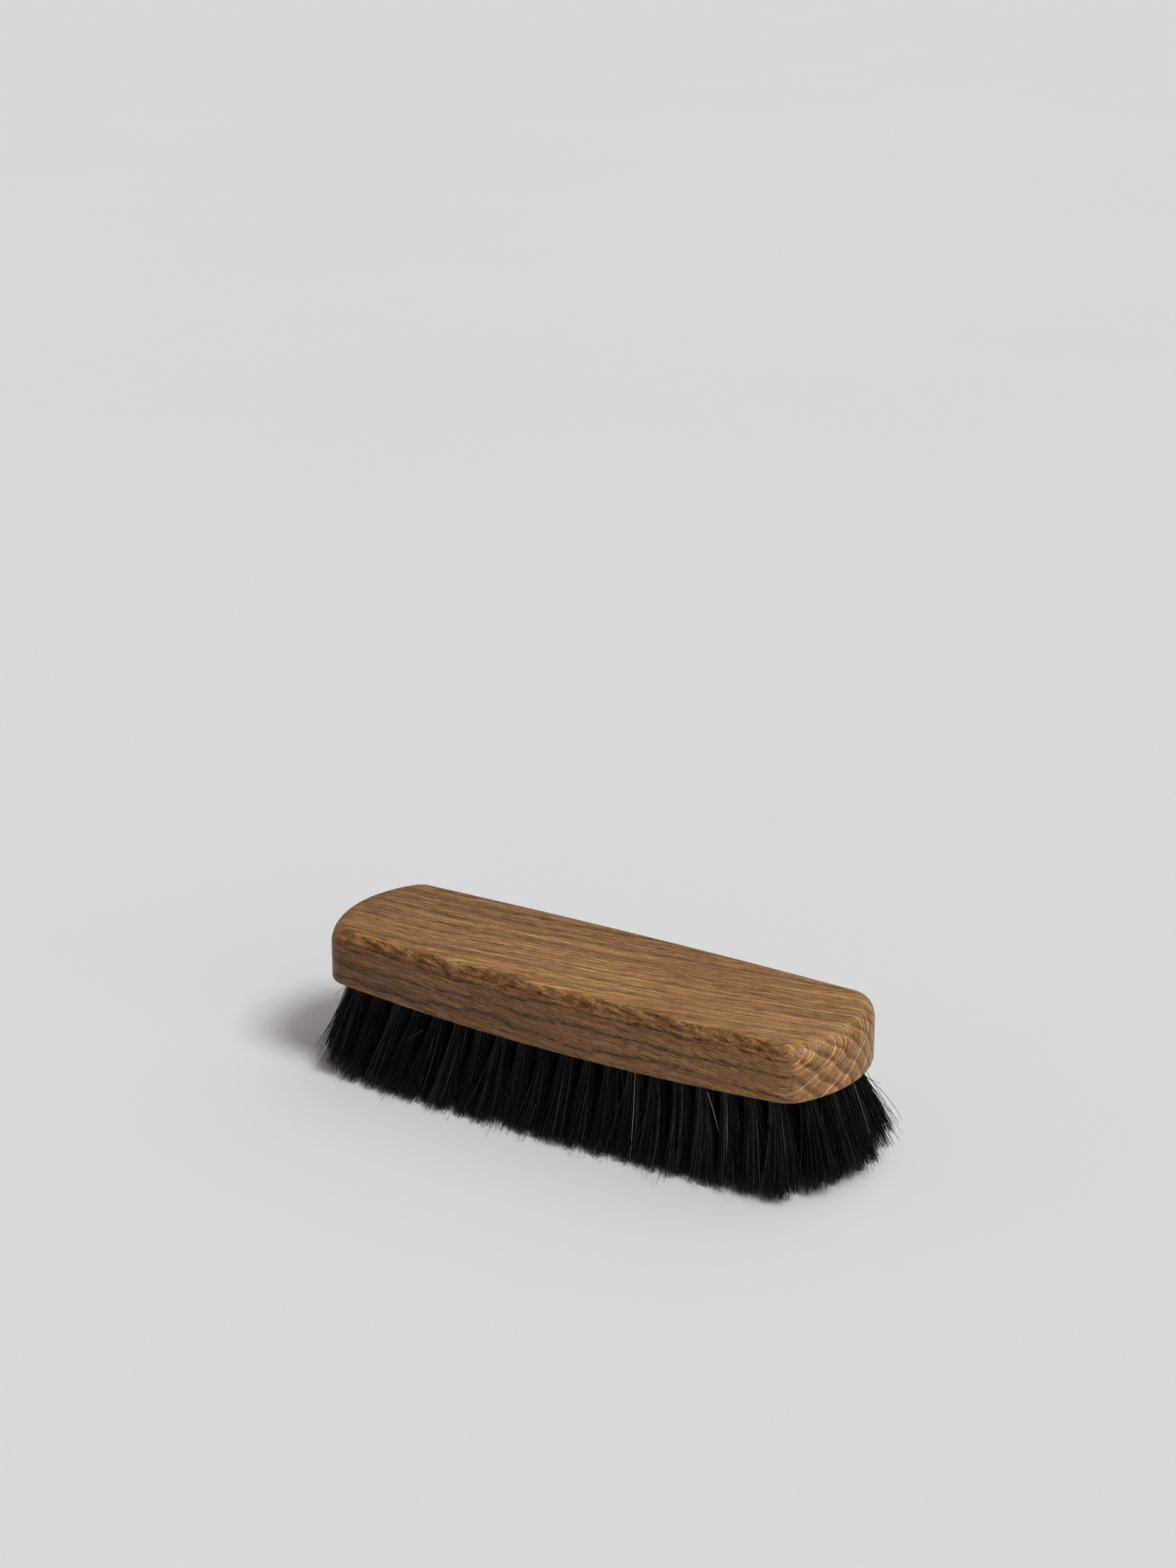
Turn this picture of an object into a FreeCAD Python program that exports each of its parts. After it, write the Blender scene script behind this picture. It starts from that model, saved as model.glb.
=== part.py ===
import FreeCAD, Part
import math
import os

# Clothes brush: one oiled oak block with rows of horsehair tufts.
# Millimetres and degrees. X runs along the brush, Y across it, Z is up.
# The origin is under the middle of the block, on the plane of the hair tips.

# Driving dimensions: the block
BLOCK_LENGTH = 170.0
BLOCK_WIDTH = 50.6
END_THICKNESS = 15.7      # block thickness at its two ends
BELLY = 3.0               # how far the underside bows down in the middle
SIDE_BULGE = 1.75         # how far each long side bows out, seen from above
END_BULGE = 6.3           # how far each end bows out, seen from above
CORNER_RADIUS = 8.0       # plan corners
TOP_ROUND = 5.2           # round-over of the top edge
EDGE_BREAK = 0.3          # the small break on the underside edge

# Driving dimensions: the hair
BRISTLE_HEIGHT = 25.0     # clear height below the lowest point of the block
LEAN_ALLOWANCE = 1.2      # extra length of every hair, trimmed off where it reaches the tips' plane
TUFTS_ALONG = 20
TUFTS_ACROSS = 7
SIDE_INSET = 5.0          # outer row's centre line to the block's long side
END_INSET = 7.5           # outer tuft's centre to the block's end, square to the end
FIELD_SHIFT = 0.6         # how far the tufts sit off the middle of the block, towards +X
END_LEAN = 22.0           # outward lean of the last tufts of the middle row
LEAN_GROWTH = 1.5         # power by which the lean grows from the middle to the ends
SIDE_LEAN = 9.5           # outward lean of the two outer rows, at the middle of the brush
COLLAR = 1.5              # length of straight hair below the wood, before it fans out
TIP_GAP = 0.4             # gap left between neighbouring tufts at their tips

# Driving dimensions: tuft holes and anchors
HOLE_DIAMETER = 4.4
HOLE_DEPTH = 9.0
FOLD = 1.2                # hair folded under the anchor, at the bottom of the hole
ANCHOR_HEIGHT = 2.0
ANCHOR_THICKNESS = 0.35
ANCHOR_BITE = 0.4         # how far each edge of an anchor cuts into the wood

# Worked-out dimensions
HALF_LENGTH = BLOCK_LENGTH / 2
HALF_WIDTH = BLOCK_WIDTH / 2
UNDERSIDE_END_Z = BRISTLE_HEIGHT + BELLY
TOP_Z = UNDERSIDE_END_Z + END_THICKNESS
HAIR_LENGTH = BRISTLE_HEIGHT + LEAN_ALLOWANCE
HOLE_RADIUS = HOLE_DIAMETER / 2
MARGIN = 2.0              # how far cutting tools reach past what they cut


def radius_from_rise(half_chord, rise):
    """Radius of the arc that rises this much over this half chord."""
    return (half_chord ** 2 + rise ** 2) / (2 * rise)


SIDE_RADIUS = radius_from_rise(HALF_LENGTH - CORNER_RADIUS, SIDE_BULGE) + CORNER_RADIUS
END_RADIUS = radius_from_rise(HALF_WIDTH - CORNER_RADIUS, END_BULGE) + CORNER_RADIUS
BELLY_RADIUS = radius_from_rise(HALF_LENGTH, BELLY)


def vector(x, y, z=0.0):
    return FreeCAD.Vector(x, y, z)


def side_edge(x):
    """Y of the long side at this X."""
    return HALF_WIDTH - SIDE_RADIUS + math.sqrt(SIDE_RADIUS ** 2 - x ** 2)


def field_end(y):
    """X of the outermost tuft of the row that runs at this Y, before the shift."""
    return HALF_LENGTH - END_RADIUS + math.sqrt((END_RADIUS - END_INSET) ** 2 - y ** 2)


def underside(x):
    """Z of the bowed underside at this X."""
    return BRISTLE_HEIGHT + BELLY_RADIUS - math.sqrt(BELLY_RADIUS ** 2 - x ** 2)


def circle_crossing(centre_a, radius_a, centre_b, radius_b):
    """The crossing of two circles that lies furthest towards +X."""
    line = centre_b - centre_a
    distance = line.Length
    along = (distance ** 2 + radius_a ** 2 - radius_b ** 2) / (2 * distance)
    across = math.sqrt(radius_a ** 2 - along ** 2)
    unit = line / distance
    normal = vector(-unit.y, unit.x)
    foot = centre_a + unit * along
    return max((foot + normal * across, foot - normal * across), key=lambda point: point.x)


def arc(centre, radius, start, end):
    """Edge of a circle, from one angle in radians to another."""
    angles = (start, (start + end) / 2, end)
    points = [centre + vector(math.cos(a), math.sin(a)) * radius for a in angles]
    return Part.Arc(*points).toShape()


def plan_outline():
    """Closed wire of eight tangent arcs: two sides, two ends and four corners."""
    side_centre = vector(0, HALF_WIDTH - SIDE_RADIUS)
    end_centre = vector(HALF_LENGTH - END_RADIUS, 0)
    corner = circle_crossing(side_centre, SIDE_RADIUS - CORNER_RADIUS,
                             end_centre, END_RADIUS - CORNER_RADIUS)
    end_angle = math.atan2(corner.y - end_centre.y, corner.x - end_centre.x)
    side_angle = math.atan2(corner.y - side_centre.y, corner.x - side_centre.x)
    edges = []
    for turn in (0.0, math.pi):
        flip = math.cos(turn)
        edges.append(arc(end_centre * flip, END_RADIUS, turn - end_angle, turn + end_angle))
        edges.append(arc(corner * flip, CORNER_RADIUS, turn + end_angle, turn + side_angle))
        edges.append(arc(side_centre * flip, SIDE_RADIUS, turn + side_angle, turn + math.pi - side_angle))
        mirrored = vector(-corner.x, corner.y) * flip
        edges.append(arc(mirrored, CORNER_RADIUS,
                         turn + math.pi - side_angle, turn + math.pi - end_angle))
    return Part.Wire(Part.__sortEdges__(edges))


def block_blank():
    """The block before drilling: flat top, bowed underside, rounded edges."""
    floor_of_stock = BRISTLE_HEIGHT - MARGIN
    prism = Part.Face(plan_outline()).extrude(vector(0, 0, TOP_Z - floor_of_stock))
    prism.translate(vector(0, 0, floor_of_stock))
    belly_start = vector(0, -HALF_WIDTH - MARGIN, BRISTLE_HEIGHT + BELLY_RADIUS)
    belly = Part.makeCylinder(BELLY_RADIUS, BLOCK_WIDTH + 2 * MARGIN, belly_start, vector(0, 1, 0))
    blank = prism.common(belly).Solids[0]
    top_edges = [e for e in blank.Edges if e.BoundBox.ZMin > TOP_Z - EDGE_BREAK]
    blank = blank.makeFillet(TOP_ROUND, top_edges)
    bottom_edges = [e for e in blank.Edges if e.BoundBox.ZMax < UNDERSIDE_END_Z + EDGE_BREAK]
    return blank.makeFillet(EDGE_BREAK, bottom_edges)


class Tuft:
    """One tuft's place: where it leaves the wood and which way it points."""

    def __init__(self, column, row):
        along = 2 * column / (TUFTS_ALONG - 1) - 1
        across = 2 * row / (TUFTS_ACROSS - 1) - 1
        x = along * field_end(across * (HALF_WIDTH - SIDE_INSET)) + FIELD_SHIFT
        y = across * (side_edge(x) - SIDE_INSET)
        reach = abs(x) / (HALF_LENGTH - END_INSET)
        lean_along = math.copysign(math.radians(END_LEAN) * reach ** LEAN_GROWTH, x)
        lean_across = math.radians(SIDE_LEAN) * y / (HALF_WIDTH - SIDE_INSET)
        self.root = vector(x, y, underside(x))
        self.direction = vector(math.tan(lean_along), math.tan(lean_across), -1).normalize()
        self.tip = self.root + self.direction * HAIR_LENGTH
        turn = FreeCAD.Rotation(vector(1, 0, 0), vector(0, -1, 0), self.direction, "ZXY")
        self.placement = FreeCAD.Placement(self.root, turn)


def tip_radius(grid, column, row):
    """Tip radius that leaves half a gap to the nearest neighbour."""
    tip = grid[column][row].tip
    neighbours = []
    for next_column in range(max(0, column - 1), min(TUFTS_ALONG, column + 2)):
        for next_row in range(max(0, row - 1), min(TUFTS_ACROSS, row + 2)):
            if (next_column, next_row) != (column, row):
                neighbours.append(grid[next_column][next_row].tip)
    nearest = min(tip.distanceToPoint(other) for other in neighbours)
    return (nearest - TIP_GAP) / 2


def placed(shape, tuft):
    """Copy of a shape made along +Z, turned to run down a tuft with its X along the brush."""
    shape = shape.copy()
    shape.Placement = tuft.placement
    return shape


def hole_solid():
    start = vector(0, 0, -HOLE_DEPTH)
    return Part.makeCylinder(HOLE_RADIUS, HOLE_DEPTH + MARGIN, start)


def anchor_solid():
    """Flat wire set in the hole along the brush, with its two short edges in the wood."""
    width = HOLE_DIAMETER + 2 * ANCHOR_BITE
    corner = vector(-width / 2, -ANCHOR_THICKNESS / 2, -HOLE_DEPTH + FOLD)
    return Part.makeBox(width, ANCHOR_THICKNESS, ANCHOR_HEIGHT, corner)


def tuft_solid(radius_at_tip):
    """Hair bundle: straight in the hole and over the collar, then a widening fan."""
    profile = Part.makePolygon([
        vector(0, 0, -HOLE_DEPTH),
        vector(HOLE_RADIUS, 0, -HOLE_DEPTH),
        vector(HOLE_RADIUS, 0, COLLAR),
        vector(radius_at_tip, 0, HAIR_LENGTH),
        vector(0, 0, HAIR_LENGTH),
        vector(0, 0, -HOLE_DEPTH),
    ])
    return Part.Face(profile).revolve(vector(0, 0, 0), vector(0, 0, 1), 360)


def trimmed(shape):
    """Cuts off what would pass below the plane of the hair tips."""
    if shape.BoundBox.ZMin >= 0:
        return shape
    size = 2 * BLOCK_LENGTH
    corner = vector(-size / 2, -size / 2, -size)
    return shape.cut(Part.makeBox(size, size, size, corner))


def write(name, shape):
    shape.exportStep(os.path.join("parts", name + ".step"))


def main():
    os.makedirs("parts", exist_ok=True)
    grid = [[Tuft(column, row) for row in range(TUFTS_ACROSS)] for column in range(TUFTS_ALONG)]
    hole = hole_solid()
    anchor = anchor_solid()
    cutters = []
    for column in range(TUFTS_ALONG):
        hairs = []
        anchors = []
        for row in range(TUFTS_ACROSS):
            tuft = grid[column][row]
            wire = placed(anchor, tuft)
            bundle = placed(tuft_solid(tip_radius(grid, column, row)), tuft)
            hairs.extend(trimmed(bundle.cut(wire)).Solids)
            anchors.append(wire)
            cutters.extend((placed(hole, tuft), wire))
        write("tuft_row_%02d" % (column + 1), Part.makeCompound(hairs))
        write("anchor_row_%02d" % (column + 1), Part.makeCompound(anchors))
    write("oak_body", block_blank().cut(cutters).Solids[0])


main()
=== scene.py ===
import math

import bpy
import numpy as np
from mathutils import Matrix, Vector


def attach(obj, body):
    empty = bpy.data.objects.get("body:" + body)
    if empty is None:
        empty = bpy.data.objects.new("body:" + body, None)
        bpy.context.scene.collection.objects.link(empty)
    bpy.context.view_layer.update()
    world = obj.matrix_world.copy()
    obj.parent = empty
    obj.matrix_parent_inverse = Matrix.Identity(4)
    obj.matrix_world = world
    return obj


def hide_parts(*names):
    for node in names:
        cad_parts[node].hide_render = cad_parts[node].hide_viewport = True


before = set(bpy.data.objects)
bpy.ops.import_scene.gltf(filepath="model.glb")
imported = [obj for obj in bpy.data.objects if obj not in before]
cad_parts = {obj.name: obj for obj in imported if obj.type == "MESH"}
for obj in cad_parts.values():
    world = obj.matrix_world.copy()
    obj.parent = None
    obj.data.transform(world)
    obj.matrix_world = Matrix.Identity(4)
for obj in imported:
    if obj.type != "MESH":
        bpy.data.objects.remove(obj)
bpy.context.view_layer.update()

MM = 0.001
SEED = 613

# Camera: the brush stands a little below the middle of the picture
CAMERA_AZIMUTH = math.radians(32.0)
CAMERA_ELEVATION = math.radians(20.5)
CAMERA_DISTANCE = 854.2 * MM
CAMERA_SENSOR = 36.0            # mm, along the picture's long side
CAMERA_LENS = 68.36             # mm
BRUSH_RIGHT_OF_MIDDLE = 2.07 * MM
BRUSH_BELOW_MIDDLE = 64.45 * MM
AIM_HEIGHT = 28.0 * MM          # the underside's level at the ends of the block

# Tufts
TUFTS_ALONG = 20
TUFTS_ACROSS = 7
HOLE_RADIUS = 2.2 * MM
ANCHOR_TO_MOUTH = 6.8 * MM      # from the middle of the anchor to the mouth of the hole
ANCHOR_TO_START = 3.0 * MM      # from there to where the modelled hair starts, hidden in the hole
TUFT_LENGTH = 26.2 * MM         # below the mouth of the hole, before trimming

# Hair
HAIRS_PER_TUFT = 340
LOCKS_PER_TUFT = 16
HAIR_RADIUS = 0.1 * MM
HAIR_SIDES = 3
HAIR_RINGS = 7
HAIR_EXTRA = 0.9 * MM           # how much longer the longest hairs are than the tuft
SETTLED_BACK = (3.6 * MM, -1.2 * MM)    # how far the last tufts' tips at -X and +X stand inwards
SPLAY = 3.4 * MM                # how far the outer rows' tips are pressed outwards
BRIGHT_SHARE = 0.13
GREY_SHARE = 0.006

# How the hairs of a tuft part, at their tips, in radii of the hole
FAN = (0.9, 1.3)
TUFT_DRIFT = 0.2
LOCK_DRIFT = 0.28
HAIR_DRIFT = 0.24
HAIR_BEND = 0.22
WILD_SHARE = 0.13
WILD_FACTOR = 3.4               # how much more the wild hairs drift and bend


# ---------------------------------------------------------------- shader nodes

class Shader:
    """Adds shader nodes and links them. Inputs are numbers, tuples or sockets."""

    def __init__(self, name):
        self.material = bpy.data.materials.new(name)
        self.material.use_nodes = True
        self.tree = self.material.node_tree
        self.tree.nodes.clear()
        output = self.tree.nodes.new("ShaderNodeOutputMaterial")
        self.surface = self.tree.nodes.new("ShaderNodeBsdfPrincipled")
        self.tree.links.new(self.surface.outputs[0], output.inputs["Surface"])

    def put(self, socket, value):
        if isinstance(value, bpy.types.NodeSocket):
            self.tree.links.new(value, socket)
        else:
            socket.default_value = value

    def node(self, kind, inputs=(), **settings):
        made = self.tree.nodes.new("ShaderNode" + kind)
        for name, value in settings.items():
            setattr(made, name, value)
        for key, value in dict(inputs).items():
            self.put(made.inputs[key], value)
        return made

    def math(self, operation, *values):
        return self.node("Math", enumerate(values), operation=operation).outputs[0]

    def add(self, *values):
        total = values[0]
        for value in values[1:]:
            total = self.math("ADD", total, value)
        return total

    def times(self, a, b):
        return self.math("MULTIPLY", a, b)

    def less(self, a, b):
        return self.math("SUBTRACT", a, b)

    def vector(self, x, y, z=0.0):
        return self.node("CombineXYZ", {"X": x, "Y": y, "Z": z}).outputs[0]

    def stretched(self, places, scales):
        """A vector of two or three places, each times its own scale."""
        return self.vector(*(self.times(place, scale) for place, scale in zip(places, scales)))

    def dot(self, a, b):
        return self.node("VectorMath", {0: a, 1: b}, operation="DOT_PRODUCT").outputs["Value"]

    def noise(self, place, scale=1.0, detail=2.0, roughness=0.5, distortion=0.0):
        """Noise about zero, mostly within half a unit each way."""
        inputs = {"Vector": place, "Scale": scale, "Detail": detail,
                  "Roughness": roughness, "Distortion": distortion}
        return self.less(self.node("TexNoise", inputs).outputs[0], 0.5)

    def cells(self, place):
        """Distance to the nearest scattered point, and two random numbers of that point."""
        made = self.node("TexVoronoi", {"Vector": place, "Scale": 1.0})
        split = self.node("SeparateColor", {0: made.outputs["Color"]})
        return made.outputs["Distance"], split.outputs[0], split.outputs[1]

    def step(self, value, low, high):
        """Smooth step from 0 at low to 1 at high."""
        inputs = {"Value": value, "From Min": low, "From Max": high}
        return self.node("MapRange", inputs, interpolation_type="SMOOTHSTEP").outputs[0]

    def band(self, value, rise, fall):
        """1 between a rise and a fall. Each is given by the values where it begins and ends."""
        return self.times(self.step(value, *rise), self.less(1.0, self.step(value, *fall)))

    def spots(self, place, inner, outer, share):
        """Soft spots about this share of the scattered points, and a random number for each."""
        distance, chance, other = self.cells(place)
        spot = self.less(1.0, self.step(distance, inner, outer))
        return self.times(spot, self.math("LESS_THAN", chance, share)), other

    def ramp(self, value, stops):
        made = self.node("ValToRGB", {0: value})
        elements = made.color_ramp.elements
        while len(elements) < len(stops):
            elements.new(1.0)
        for element, (place, colour) in zip(elements, stops):
            element.position = place
            element.color = (*colour, 1.0)
        return made.outputs[0]

    def mix(self, factor, a, b, blend="MIX"):
        made = self.node("Mix", data_type="RGBA", blend_type=blend)
        self.put(made.inputs[0], factor)
        for socket, value in ((made.inputs[6], a), (made.inputs[7], b)):
            self.put(socket, (*value, 1.0) if isinstance(value, tuple) else value)
        return made.outputs[2]


# ------------------------------------------------------------------- oak

RAY_ANGLE = math.radians(37.0)      # how the rays rise across the end of the block
FLECK_ANGLE = math.radians(44.0)    # tilt of the surface that runs along the rays, near the front
PITH_DISTANCE = 140.0               # mm from the tree's centre to a point in the block
PITH_FROM = (-10.0, 35.0)           # mm, Y and Z of that point
RING_WIDTH = 4.3                    # mm
SIDE_BAND_SPACING = 5.6             # mm between the porous bands on the long sides


def oak_cuts(s):
    """How far the surface is a long side and an end, and how squarely it faces off the rays."""
    normal = s.node("TexCoord").outputs["Normal"]
    off_ray = (0.0, -math.sin(FLECK_ANGLE), math.cos(FLECK_ANGLE))
    along_y, along_x, along_ray = (s.math("ABSOLUTE", s.dot(normal, axis))
                                   for axis in ((0.0, 1.0, 0.0), (1.0, 0.0, 0.0), off_ray))
    return s.step(along_y, 0.70, 0.92), s.step(along_x, 0.35, 0.8), along_ray


def oak_grain(s, x, y, z, quick):
    """Places in the tree: out from its centre along the rays, and round the rings."""
    slow = s.stretched((x, y, z), (0.016, 0.035, 0.035))
    swing = s.times(x, s.add(s.times(x, 0.0006), 0.11))
    wander = s.add(s.times(s.noise(slow, detail=1.0), 5.0), s.times(s.noise(quick, detail=2.0), 1.1))
    rise = s.times(s.noise(slow, scale=1.3, detail=1.0), 4.0)
    pith_y = PITH_DISTANCE * math.cos(RAY_ANGLE) - PITH_FROM[0]
    pith_z = PITH_DISTANCE * math.sin(RAY_ANGLE) - PITH_FROM[1]
    from_y = s.add(s.less(y, swing), wander, pith_y)
    from_z = s.add(z, rise, pith_z)
    out = s.math("SQRT", s.add(s.times(from_y, from_y), s.times(from_z, from_z)))
    return out, s.times(s.math("ARCTAN2", from_z, from_y), PITH_DISTANCE)


def oak_rings(s, x, y, z, quick, out, grit, side_cut):
    """Each year's porous dark band and golden line. On the long sides the bands run straight."""
    wander = s.noise(s.stretched((x, y, z), (0.03, 0.1, 0.1)), detail=3.0)
    years = s.add(s.times(out, 1 / RING_WIDTH), s.times(wander, 0.8), s.times(grit, 0.12))
    year = s.math("FRACT", years)
    ripple = s.add(s.times(wander, 1.6), s.times(s.noise(quick, detail=3.0), 0.7))
    level = s.math("FRACT", s.add(s.times(z, 1 / SIDE_BAND_SPACING), ripple))
    side_band = s.band(level, (0.1, 0.2), (0.25, 0.42))
    not_side = s.less(1.0, side_cut)
    ring_band = s.band(year, (0.0, 0.05), (0.2, 0.5))
    early = s.add(s.times(ring_band, not_side), s.times(side_band, side_cut))
    pale_line = s.times(s.band(year, (0.74, 0.86), (0.94, 1.0)), not_side)
    return early, pale_line, side_band


def oak_rays(s, grain):
    """Broad rays: thin pale sheets along the grain."""
    distance, strength, _ = s.cells(s.stretched(grain, (1 / 150, 1 / 38, 1 / 0.72)))
    strong = s.step(strength, 0.1, 0.8)
    width = s.add(s.times(strong, 0.07), 0.26)
    return s.times(s.less(1.0, s.step(s.math("DIVIDE", distance, width), 0.75, 1.15)), strong)


def oak_pores(s, grain, early):
    """Short dark grooves along the grain, close together in the porous bands."""
    crowd = s.add(s.times(early, 0.55), 0.27)
    pore, depth = s.spots(s.stretched(grain, (1 / 5.0, 1 / 0.5, 1 / 0.42)), 0.22, 0.44, crowd)
    return s.times(pore, s.add(s.times(depth, 0.6), 0.4))


def oak_flecks(s, x, y, z, facing, grit):
    """Where the surface runs along the rays it shows them as torn flakes: how far, and their tone."""
    up = s.add(s.times(y, math.cos(FLECK_ANGLE)), s.times(z, math.sin(FLECK_ANGLE)))
    slanted = (x, s.add(up, s.times(x, 0.22)))
    flake = s.noise(s.stretched(slanted, (0.13, 0.55)), detail=5.0, roughness=0.75)
    torn = s.noise(s.stretched(slanted, (0.13, 0.35)), detail=4.0, roughness=0.75)
    # Painted highlight: small pale glints along the rays, where they would catch the light.
    glint, _ = s.spots(s.stretched(slanted, (1 / 2.2, 1 / 0.30)), 0.1, 0.4, 0.22)
    fleck = s.step(s.add(facing, s.times(torn, 0.16)), 0.945, 0.965)
    return fleck, s.add(0.33, s.times(flake, 2.6), s.times(grit, 0.9), s.times(glint, 0.5))


def oak_material():
    """Oiled oak as a solid: rings, rays and pores run right through the block."""
    s = Shader("oiled_oak")
    place = s.node("TexCoord").outputs["Object"]
    in_mm = s.node("VectorMath", {0: place, 3: 1 / MM}, operation="SCALE").outputs[0]
    x, y, z = s.node("SeparateXYZ", {0: in_mm}).outputs
    side_cut, end_cut, facing = oak_cuts(s)

    quick = s.stretched((x, y, z), (0.05, 0.22, 0.22))
    out, across = oak_grain(s, x, y, z, quick)
    grain = (x, out, across)
    broad = s.noise(s.stretched(grain, (0.016, 0.3, 1.5)), detail=3.0, roughness=0.6)
    fibre = s.noise(s.stretched(grain, (0.13, 1.8, 6.2)), detail=2.0, roughness=0.8)
    grit = s.noise(s.stretched(grain, (1.1, 4.0, 4.0)), detail=3.0, roughness=0.7)
    early, pale_line, side_band = oak_rings(s, x, y, z, quick, out, grit, side_cut)
    ray = oak_rays(s, grain)
    pore = oak_pores(s, grain, early)
    fleck, fleck_tone = oak_flecks(s, x, y, z, facing, grit)

    # Long dark checks and patches, seen on the long sides
    check, _ = s.spots(s.stretched(grain, (1 / 26.0, 1 / 2.4, 1 / 0.5)), 0.14, 0.34, 0.55)
    patch = s.noise(s.stretched((x, z, y), (0.33, 2.3, 0.6)), detail=3.0, roughness=0.6)
    patch = s.times(side_band, s.step(patch, 0.0, 0.1))

    # All of it as one tone: 0 is the darkest wood and 1 the palest
    not_end = s.less(1.0, s.times(end_cut, 0.85))
    tone = s.add(0.48, s.times(broad, 0.85), s.times(s.times(fibre, 1.65), not_end))
    tone = s.add(tone, s.times(grit, s.add(s.times(end_cut, 0.45), 0.45)), s.times(end_cut, -0.12))
    # Painted light falloff: paler towards +X and darker towards -X, where the light falls off. Also paler
    # towards the front edge.
    tone = s.add(tone, s.times(x, 0.0008), s.times(y, -0.0024))
    tone = s.less(tone, s.times(early, s.add(0.06, s.times(end_cut, 0.13), s.times(side_cut, 0.12))))
    gold = s.times(pale_line, s.add(0.8, s.times(grit, 2.0)))
    tone = s.add(tone, s.times(gold, s.add(0.05, s.times(end_cut, 0.11))))
    tone = s.add(tone, s.times(ray, s.less(s.add(0.26, s.times(end_cut, 0.20)), s.times(side_cut, 0.32))))
    # Painted shade on the long sides: besides the dark checks and patches, the sides grow paler towards
    # +X and darker towards -X, where the light falls off.
    side_marks_and_shade = s.add(s.times(check, 0.42), s.times(patch, 0.36), s.times(x, -0.0007))
    tone = s.less(tone, s.times(side_cut, side_marks_and_shade))
    tone = s.add(tone, s.times(fleck, s.less(fleck_tone, tone)))
    colour = s.ramp(tone, (
        (0.0, (0.055, 0.023, 0.007)),
        (0.25, (0.145, 0.065, 0.021)),
        (0.5, (0.285, 0.141, 0.051)),
        (0.75, (0.445, 0.235, 0.088)),
        (1.0, (0.690, 0.430, 0.200)),
    ))
    pore_mix = s.less(0.74, s.times(fleck, 0.5))
    colour = s.mix(s.times(pore, pore_mix), colour, (0.065, 0.030, 0.011))
    # Painted shade: the long sides are multiplied darker, as they face away from the light.
    colour = s.mix(s.times(side_cut, 0.95), colour, (0.63, 0.62, 0.63), blend="MULTIPLY")
    s.put(s.surface.inputs["Base Color"], colour)

    rough = s.add(0.46, s.times(fibre, 0.2), s.times(pore, 0.2), s.times(ray, -0.14))
    s.put(s.surface.inputs["Roughness"], rough)
    s.put(s.surface.inputs["Specular IOR Level"], 0.24)
    height = s.add(s.times(fibre, 0.5), s.times(pore, -1.0), s.times(ray, 0.4), s.times(grit, 0.2))
    bump = s.node("Bump", {"Height": height, "Strength": 0.4, "Distance": 0.12 * MM})
    s.put(s.surface.inputs["Normal"], bump.outputs[0])
    return s.material


# ------------------------------------------------------------- hair and steel

def hair_material():
    """Glossy black horsehair. Each hair has a tone of its own; the paler tones are partly paler hairs and
    partly painted highlight.
    """
    s = Shader("black_horsehair")
    tone = s.node("Attribute", attribute_name="hair_tone").outputs["Fac"]
    colour = s.ramp(tone, (
        (0.0, (0.0006, 0.0005, 0.0005)),
        (0.35, (0.0024, 0.0020, 0.0017)),
        (0.6, (0.0090, 0.0076, 0.0064)),
        (0.9, (0.0520, 0.0490, 0.0455)),
        (0.95, (0.12, 0.105, 0.09)),
        (1.0, (0.33, 0.29, 0.24)),
    ))
    s.put(s.surface.inputs["Base Color"], colour)
    s.put(s.surface.inputs["Roughness"], 0.27)
    s.put(s.surface.inputs["Specular IOR Level"], 0.22)
    return s.material


def steel_material():
    """Plain drawn wire, a little uneven."""
    s = Shader("anchor_steel")
    place = s.node("TexCoord").outputs["Object"]
    grain = s.noise(place, scale=900.0, detail=2.0)
    colour = s.ramp(s.add(grain, 0.5), ((0.3, (0.36, 0.36, 0.37)), (0.7, (0.56, 0.56, 0.57))))
    s.put(s.surface.inputs["Base Color"], colour)
    s.put(s.surface.inputs["Metallic"], 1.0)
    s.put(s.surface.inputs["Roughness"], s.add(0.38, s.times(grain, 0.2)))
    return s.material


def floor_material():
    """Matt pale grey, with a faint mottle."""
    s = Shader("pale_floor")
    place = s.node("TexCoord").outputs["Object"]
    mottle = s.noise(place, scale=2.0, detail=3.0)
    colour = s.ramp(s.add(mottle, 0.5), ((0.2, (0.762, 0.762, 0.766)), (0.8, (0.782, 0.782, 0.786))))
    s.put(s.surface.inputs["Base Color"], colour)
    s.put(s.surface.inputs["Roughness"], 0.9)
    s.put(s.surface.inputs["Specular IOR Level"], 0.1)
    return s.material


# ------------------------------------------------------------------- tufts

def tuft_axes(number):
    """Middle of each anchor of a row, and the direction its tuft points, from the CAD anchors."""
    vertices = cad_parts["anchor_row_%02d" % number].data.vertices
    points = np.array([v.co for v in vertices])
    points = points[np.argsort(points[:, 1])]
    axes = []
    for corners in np.split(points, TUFTS_ACROSS):
        middle = corners.mean(0)
        upright = np.linalg.svd(corners - middle)[2][1]
        axes.append((middle, upright * -np.sign(upright[2])))
    return axes


def frame_across(direction):
    """Two unit vectors square to the direction and to each other."""
    side = np.cross(direction, (0.0, 1.0, 0.0))
    side /= np.linalg.norm(side)
    return side, np.cross(direction, side)


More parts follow.
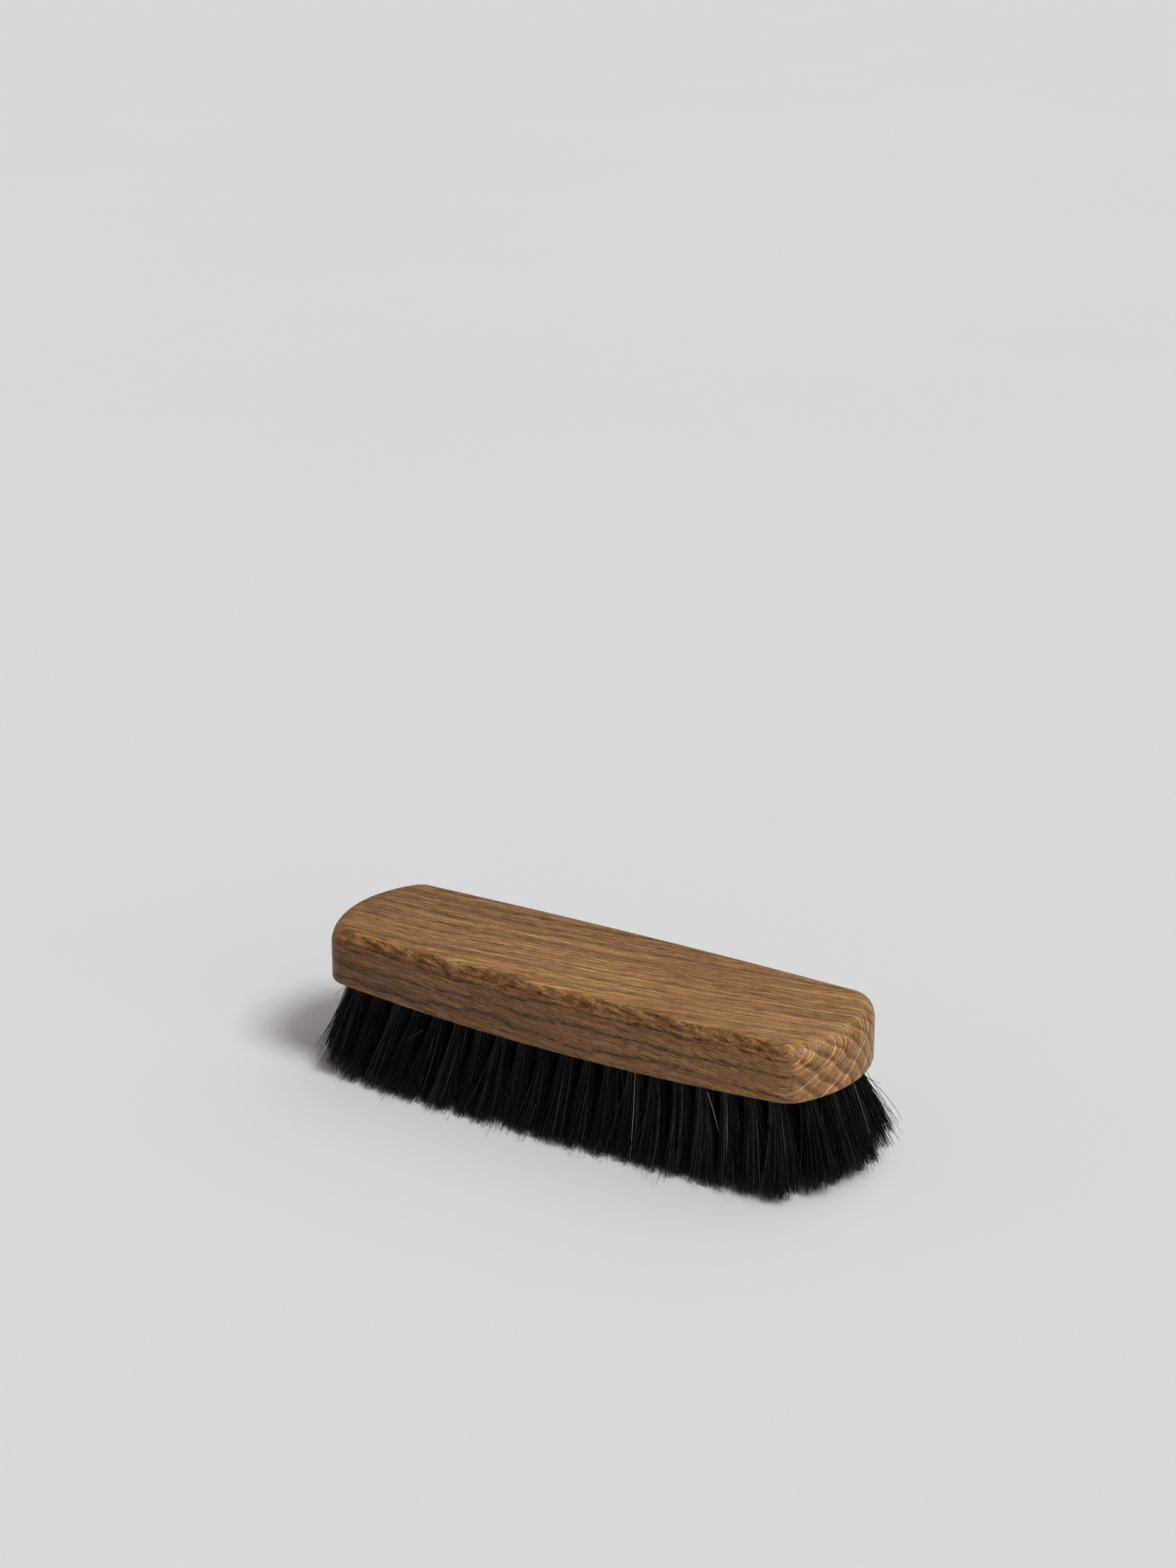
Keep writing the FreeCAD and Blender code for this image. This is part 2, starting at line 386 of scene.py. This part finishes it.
def tuft_hairs(anchor, direction, settle, splay, rng):
    """Centre lines of one tuft's hairs, as an array of hairs x rings x 3."""
    count = HAIRS_PER_TUFT
    side, other = frame_across(direction)
    mouth = anchor + direction * ANCHOR_TO_MOUTH
    angle = rng.uniform(0, 2 * math.pi, count)
    disc = np.stack([np.cos(angle), np.sin(angle)], 1) * np.sqrt(rng.uniform(0, 1, count))[:, None]

    locks = rng.uniform(-1, 1, (LOCKS_PER_TUFT, 2))
    nearest = ((disc[:, None] - locks[None]) ** 2).sum(2).argmin(1)
    lock_pull = rng.uniform(0.1, 0.5, (LOCKS_PER_TUFT, 1))[nearest] * (locks[nearest] - disc)
    lock_drift = rng.normal(0, LOCK_DRIFT, (LOCKS_PER_TUFT, 2))[nearest]
    wild = np.where(rng.uniform(0, 1, count) < WILD_SHARE, WILD_FACTOR, 1.0)[:, None]
    stray = rng.normal(0, HAIR_DRIFT, (count, 2)) * wild
    bend = rng.normal(0, HAIR_BEND, (count, 2)) * wild
    fan = rng.uniform(*FAN)
    drift = rng.normal(0, TUFT_DRIFT, 2)

    length = TUFT_LENGTH * (1 + rng.normal(0, 0.010, count))
    length -= rng.exponential(0.55 * MM, count) + rng.normal(0, 0.4 * MM, LOCKS_PER_TUFT)[nearest]
    length += HAIR_EXTRA
    start = ANCHOR_TO_START - ANCHOR_TO_MOUTH
    lines = np.empty((count, HAIR_RINGS, 3))
    for ring, step in enumerate(np.linspace(0, 1, HAIR_RINGS)):
        s = start + (length - start) * step
        t = np.clip(s / TUFT_LENGTH, 0, None)[:, None]
        offset = disc * (0.96 + fan * t ** 1.1) + (lock_pull + lock_drift + stray + drift) * t
        offset = (offset + bend * t ** 2.3) * HOLE_RADIUS
        lines[:, ring] = (mouth + direction * s[:, None]
                          + offset[:, :1] * side + offset[:, 1:] * other)
        lines[:, ring, 0] += settle * t[:, 0] ** 1.6
        lines[:, ring, 1] += splay * t[:, 0] ** 1.8
    return lines


def trim_to_floor(lines, rng):
    """Shortens each hair so that its tip ends just above the plane of the tips."""
    clear = 0.08 * MM + rng.exponential(0.3 * MM, len(lines))
    root, tip = lines[:, :1], lines[:, -1:]
    drop = root[..., 2] - tip[..., 2]
    room = root[..., 2] - clear[:, None]
    share = np.minimum(1.0, room / drop)[..., None]
    return root + (lines - root) * share


def hair_mesh(name, lines, tones, radius=HAIR_RADIUS):
    """One mesh of thin tapered hairs along the given centre lines."""
    count, rings = lines.shape[:2]
    sides = HAIR_SIDES
    along = np.gradient(lines, axis=1)
    along /= np.linalg.norm(along, axis=2, keepdims=True)
    side = np.cross(along, (0.31, 0.95, 0.0))
    side /= np.linalg.norm(side, axis=2, keepdims=True)
    other = np.cross(along, side)
    taper = np.interp(np.linspace(0, 1, rings), (0, 0.75, 1), (1.0, 0.9, 0.45))
    turn = np.arange(sides) * 2 * math.pi / sides
    thick = np.broadcast_to(np.asarray(radius), (count,))
    ring = side[:, :, None] * np.cos(turn)[:, None] + other[:, :, None] * np.sin(turn)[:, None]
    points = lines[:, :, None] + ring * (taper[:, None, None] * thick[:, None, None, None])
    points = points.reshape(-1, 3)

    first = np.arange(count)[:, None, None] * rings * sides
    level = np.arange(rings - 1)[None, :, None] * sides
    k = np.arange(sides)[None, None, :]
    a = first + level + k
    b = first + level + (k + 1) % sides
    quads = np.stack([a, b, b + sides, a + sides], -1).reshape(-1, 4)
    caps = (np.arange(count)[:, None] * rings + rings - 1) * sides + np.arange(sides)

    mesh = bpy.data.meshes.new(name)
    mesh.vertices.add(len(points))
    mesh.vertices.foreach_set("co", points.astype(np.float32).ravel())
    loops = np.concatenate([quads.ravel(), caps.ravel()])
    mesh.loops.add(len(loops))
    mesh.loops.foreach_set("vertex_index", loops.astype(np.int32))
    starts = np.concatenate([np.arange(len(quads)) * 4, len(quads) * 4 + np.arange(count) * sides])
    mesh.polygons.add(len(starts))
    mesh.polygons.foreach_set("loop_start", starts.astype(np.int32))
    mesh.update(calc_edges=True)
    mesh.shade_smooth()

    tone = mesh.attributes.new("hair_tone", "FLOAT", "POINT")
    tone.data.foreach_set("value", np.repeat(tones, rings * sides).astype(np.float32))
    add_hair_map(mesh, count, rings, sides)
    mesh.validate()
    return mesh


def add_hair_map(mesh, count, rings, sides):
    """Map in which each hair has a small cell of its own."""
    grid = math.ceil(math.sqrt(count))
    column, row = np.arange(count) % grid, np.arange(count) // grid
    v = np.linspace(0.1, 0.8, rings)
    u = np.linspace(0.1, 0.9, sides + 1)
    cell = []
    for level in range(rings - 1):
        for k in range(sides):
            cell.append([(u[k], v[level]), (u[k + 1], v[level]),
                         (u[k + 1], v[level + 1]), (u[k], v[level + 1])])
    cell = np.array(cell).reshape(-1, 2)
    cap = np.array([(0.2, 0.85), (0.8, 0.85), (0.5, 0.95)])
    corner = np.stack([column, row], 1)[:, None]
    places = np.concatenate([(corner + cell).reshape(-1, 2), (corner + cap).reshape(-1, 2)]) / grid
    layer = mesh.uv_layers.new(name="OFBake")
    layer.uv.foreach_set("vector", places.astype(np.float32).ravel())


def hair_piece(name, lines, tones, material, radius=HAIR_RADIUS):
    """Adds hairs to the scene as one piece fixed to the block."""
    mesh = hair_mesh(name, lines, tones, radius)
    mesh.materials.append(material)
    piece = bpy.data.objects.new(name, mesh)
    bpy.context.scene.collection.objects.link(piece)
    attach(piece, "root")
    return piece


def make_tufts(material):
    """One piece of hair for each row of tufts, in place of the CAD row."""
    rng = np.random.default_rng(SEED)
    for number in range(1, TUFTS_ALONG + 1):
        settle = (SETTLED_BACK[0] * math.exp(1 - number)
                  + SETTLED_BACK[1] * math.exp(number - TUFTS_ALONG))
        axes = tuft_axes(number)
        outer = max(anchor[1] for anchor, _ in axes)
        lines = [tuft_hairs(anchor, direction, settle, SPLAY * anchor[1] / outer, rng)
                 for anchor, direction in axes]
        lines = trim_to_floor(np.concatenate(lines), rng)
        tones = rng.beta(1.2, 4.0, len(lines)) * 0.75
        # Partly painted highlight: a share of hairs get pale tones, for hairs that catch the light as
        # well as for hairs that are paler.
        bright = rng.uniform(0, 1, len(lines)) < BRIGHT_SHARE
        tones[bright] = rng.uniform(0.6, 0.93, bright.sum())
        grey = rng.uniform(0, 1, len(lines)) < GREY_SHARE
        tones[grey] = rng.uniform(0.93, 1.0, grey.sum())
        piece = hair_piece("hair_row_%02d" % number, lines, tones, material)
        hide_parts("tuft_row_%02d" % number)


# Stray hairs: root in mm, degrees below level, length in mm, bend in degrees, tone and radius in mm.
# A hair with its angle past 90 degrees heads towards -X.
STRAYS = (
    ((-74, -18, 25.5), 116, 28, 6, 0.5, 0.10),
    ((-73, -18, 26.5), 135, 10, 0, 0.6, 0.08),
    ((-74, -17, 25.0), 117, 24, -2, 0.4, 0.10),
    ((-74, -18, 26.0), 118, 29, 8, 0.2, 0.12),
    ((-74, -18, 25.0), 115, 26, 5, 0.7, 0.10),
    ((-74, -19, 25.5), 116, 26, 6, 0.3, 0.11),
    ((-43, -25, 20.5), 141, 27, 0, 0.93, 0.065),
    ((-73, -23, 24.0), -15, 12, 105, 0.9, 0.07),
    ((81, 6, 27.5), 20, 8, -35, 0.6, 0.09),
    ((83, 4, 27.5), 40, 18, 36, 0.5, 0.09),
    ((82.5, 4, 27.5), 44, 18, 20, 0.5, 0.10),
    ((80.5, 8, 27.0), 50, 22, 6, 0.6, 0.09),
    ((51, -24, 25.0), 72, 13, 5, 0.99, 0.11),
)


def bent_line(root, angle, length, bend, count):
    """Centre line of one stray hair, in mm: it bends evenly and stays in a plane along the brush."""
    headings = np.radians(angle + bend * (np.linspace(0, 1, count - 1) - 0.5))
    steps = np.stack([np.cos(headings), np.zeros(count - 1), -np.sin(headings)], 1)
    return np.array(root) + np.concatenate([np.zeros((1, 3)), steps.cumsum(0)]) * length / (count - 1)


def make_strays(material):
    lines = np.array([bent_line(*shape, 12) for *shape, _, _ in STRAYS]) * MM
    tones = np.array([tone for *_, tone, _ in STRAYS])
    radii = np.array([radius for *_, radius in STRAYS]) * MM
    hair_piece("stray_hairs", lines, tones, material, radii)


# -------------------------------------------------------------- camera and light

def make_camera():
    camera = bpy.data.objects.new("camera", bpy.data.cameras.new("camera"))
    bpy.context.scene.collection.objects.link(camera)
    flat = math.cos(CAMERA_ELEVATION)
    back = Vector((math.sin(CAMERA_AZIMUTH) * flat, -math.cos(CAMERA_AZIMUTH) * flat,
                   math.sin(CAMERA_ELEVATION)))
    right = Vector((math.cos(CAMERA_AZIMUTH), math.sin(CAMERA_AZIMUTH), 0.0))
    up = back.cross(right)
    aim = Vector((0.0, 0.0, AIM_HEIGHT))
    camera.location = (aim + back * CAMERA_DISTANCE - right * BRUSH_RIGHT_OF_MIDDLE
                       + up * BRUSH_BELOW_MIDDLE)
    camera.rotation_mode = "QUATERNION"
    camera.rotation_quaternion = (-back).to_track_quat("-Z", "Y")
    camera.data.sensor_width = CAMERA_SENSOR
    camera.data.lens = CAMERA_LENS
    camera.data.clip_start = 0.01
    camera.data.clip_end = 100.0
    bpy.context.scene.camera = camera


def make_sun(name, towards_light, strength, spread, colour=(1.0, 1.0, 1.0)):
    """A soft far light. Its direction is given from the brush towards it."""
    light = bpy.data.lights.new(name, "SUN")
    light.energy = strength
    light.color = colour
    light.angle = math.radians(spread)
    lamp = bpy.data.objects.new(name, light)
    lamp.rotation_mode = "QUATERNION"
    lamp.rotation_quaternion = Vector(towards_light).to_track_quat("Z", "Y")
    bpy.context.scene.collection.objects.link(lamp)


def make_world(colour, level):
    world = bpy.data.worlds.new("studio")
    world.use_nodes = True
    background = world.node_tree.nodes["Background"]
    background.inputs["Color"].default_value = (*colour, 1.0)
    background.inputs["Strength"].default_value = level
    bpy.context.scene.world = world


def make_floor(material):
    half = 60.0     # metres
    mesh = bpy.data.meshes.new("floor")
    corners = [(-half, -half, 0), (half, -half, 0), (half, half, 0), (-half, half, 0)]
    mesh.from_pydata(corners, [], [(0, 1, 2, 3)])
    mesh.materials.append(material)
    floor = bpy.data.objects.new("floor", mesh)
    bpy.context.scene.collection.objects.link(floor)


def dress_cad(node, material):
    """Gives a CAD node its finished material."""
    slots = node.data.materials
    slots.clear()
    slots.append(material)


bpy.context.scene.view_settings.view_transform = "Standard"
make_camera()
make_world((1.11, 1.0, 0.89), 0.22)
make_sun("key_light", (0.60, -0.06, 0.80), 1.98, 21.0, (0.96, 1.0, 1.04))
make_sun("back_light", (0.10, 0.62, 0.78), 0.5, 60.0)
make_sun("side_light", (0.90, -0.36, 0.26), 0.66, 50.0)
make_floor(floor_material())
oak = oak_material()
steel = steel_material()
for name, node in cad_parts.items():
    if name == "oak_body":
        dress_cad(node, oak)
    elif name.startswith("anchor_row"):
        dress_cad(node, steel)
hair = hair_material()
make_tufts(hair)
make_strays(hair)
